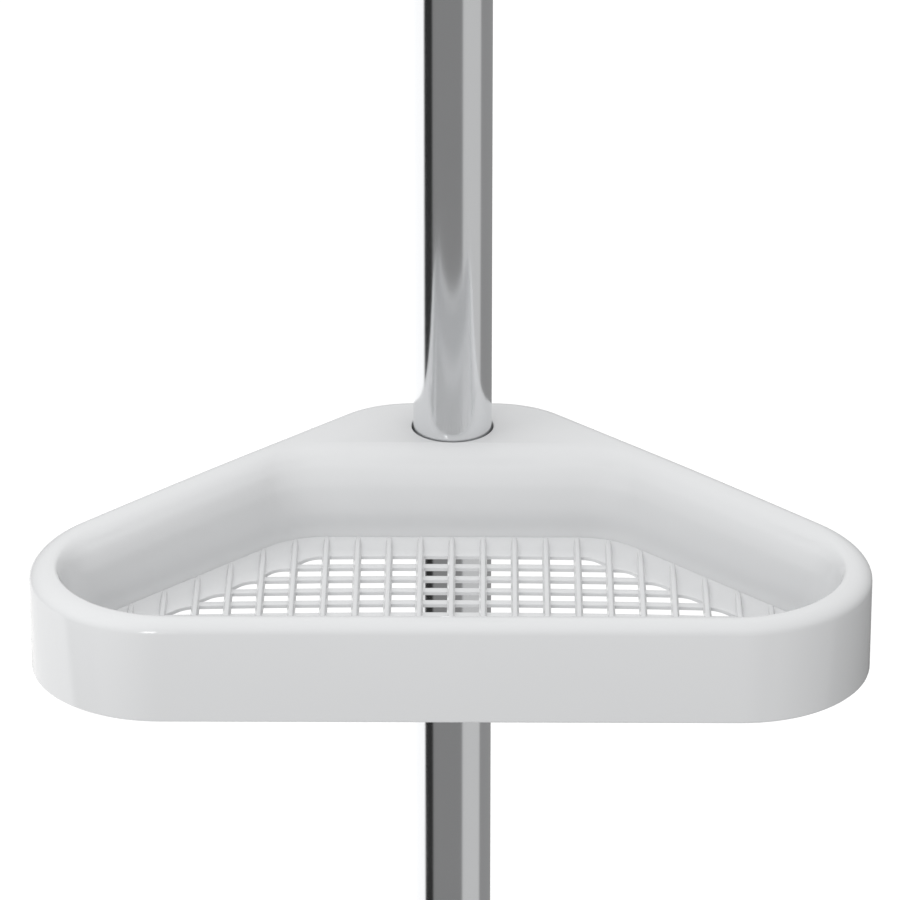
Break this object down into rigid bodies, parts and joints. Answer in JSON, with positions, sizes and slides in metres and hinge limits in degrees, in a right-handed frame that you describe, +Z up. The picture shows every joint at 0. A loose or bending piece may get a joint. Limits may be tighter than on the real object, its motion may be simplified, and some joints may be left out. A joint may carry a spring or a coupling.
{
  "type": "shower caddy",
  "caption": "Floor-to-ceiling tension pole in chromed tube carrying glossy white moulded corner trays with open grid floors.",
  "frame": {"origin": "centre of the floor pad's underside, on the pole's axis", "axes": "+Z up the pole, -Y towards the trays' straight fronts, +X to the right of a person facing the trays"},
  "size_m": [0.2566, 0.166, 1.178],
  "materials": {
    "chrome": "mirror-bright chromium plate",
    "spring_steel": "bright drawn steel",
    "tray_white": "glossy moulded white plastic",
    "white_gloss": "glossy moulded white plastic",
    "white_matte": "matte moulded nylon",
    "rubber": "soft grey rubber"
  },
  "bodies": {
    "pole": {"floor_pad": "rubber", "floor_foot": "white_gloss", "foot_plug": "white_matte", "foot_screw": "spring_steel", "outer_tube": "chrome", "lock_collet": "white_matte"},
    "lock_nut": {"lock_nut": "white_gloss"},
    "extension": {"inner_tube": "chrome", "guide_bush": "white_matte", "spring_stop": "white_matte", "tension_spring": "spring_steel", "plunger_bush": "white_gloss"},
    "ceiling_plunger": {"plunger": "spring_steel", "ceiling_foot": "white_gloss", "ceiling_pad": "rubber"},
    "bottom_clamp": {"bottom_wedge_left": "white_matte", "bottom_wedge_right": "white_matte"},
    "bottom_shelf": {"bottom_tray": "tray_white", "bottom_drain_floor": "tray_white"},
    "middle_clamp": {"middle_wedge_left": "white_matte", "middle_wedge_right": "white_matte"},
    "middle_shelf": {"middle_tray": "tray_white", "middle_drain_floor": "tray_white"},
    "top_clamp": {"top_wedge_left": "white_matte", "top_wedge_right": "white_matte"},
    "top_shelf": {"top_tray": "tray_white", "top_drain_floor": "tray_white"}
  },
  "joints": [
    {"name": "pole_extend", "type": "slide", "parent": "pole", "child": "extension", "axis": [0, 0, 1], "range_m": [0, 0.7]},
    {"name": "lock_nut_turn", "type": "hinge", "parent": "pole", "child": "lock_nut", "pos_m": [0, 0, 1.004], "axis": [0, 0, 1], "range_deg": [0, 120]},
    {"name": "ceiling_foot_press", "type": "slide", "parent": "extension", "child": "ceiling_plunger", "axis": [0, 0, 1], "range_m": [-0.02, 0], "stiffness_N_per_m": 7500, "springref_m": 0.004, "deforming": ["tension_spring"]},
    {"name": "bottom_shelf_height", "type": "slide", "parent": "pole", "child": "bottom_clamp", "axis": [0, 0, 1], "range_m": [-0.1, 0.1]},
    {"name": "bottom_shelf_swivel", "type": "hinge", "parent": "bottom_clamp", "child": "bottom_shelf", "pos_m": [0, 0, 0.25], "axis": [0, 0, 1], "continuous": true},
    {"name": "middle_shelf_height", "type": "slide", "parent": "pole", "child": "middle_clamp", "axis": [0, 0, 1], "range_m": [-0.1, 0.1]},
    {"name": "middle_shelf_swivel", "type": "hinge", "parent": "middle_clamp", "child": "middle_shelf", "pos_m": [0, 0, 0.545], "axis": [0, 0, 1], "continuous": true},
    {"name": "top_shelf_height", "type": "slide", "parent": "pole", "child": "top_clamp", "axis": [0, 0, 1], "range_m": [-0.1, 0.1]},
    {"name": "top_shelf_swivel", "type": "hinge", "parent": "top_clamp", "child": "top_shelf", "pos_m": [0, 0, 0.84], "axis": [0, 0, 1], "continuous": true}
  ]
}
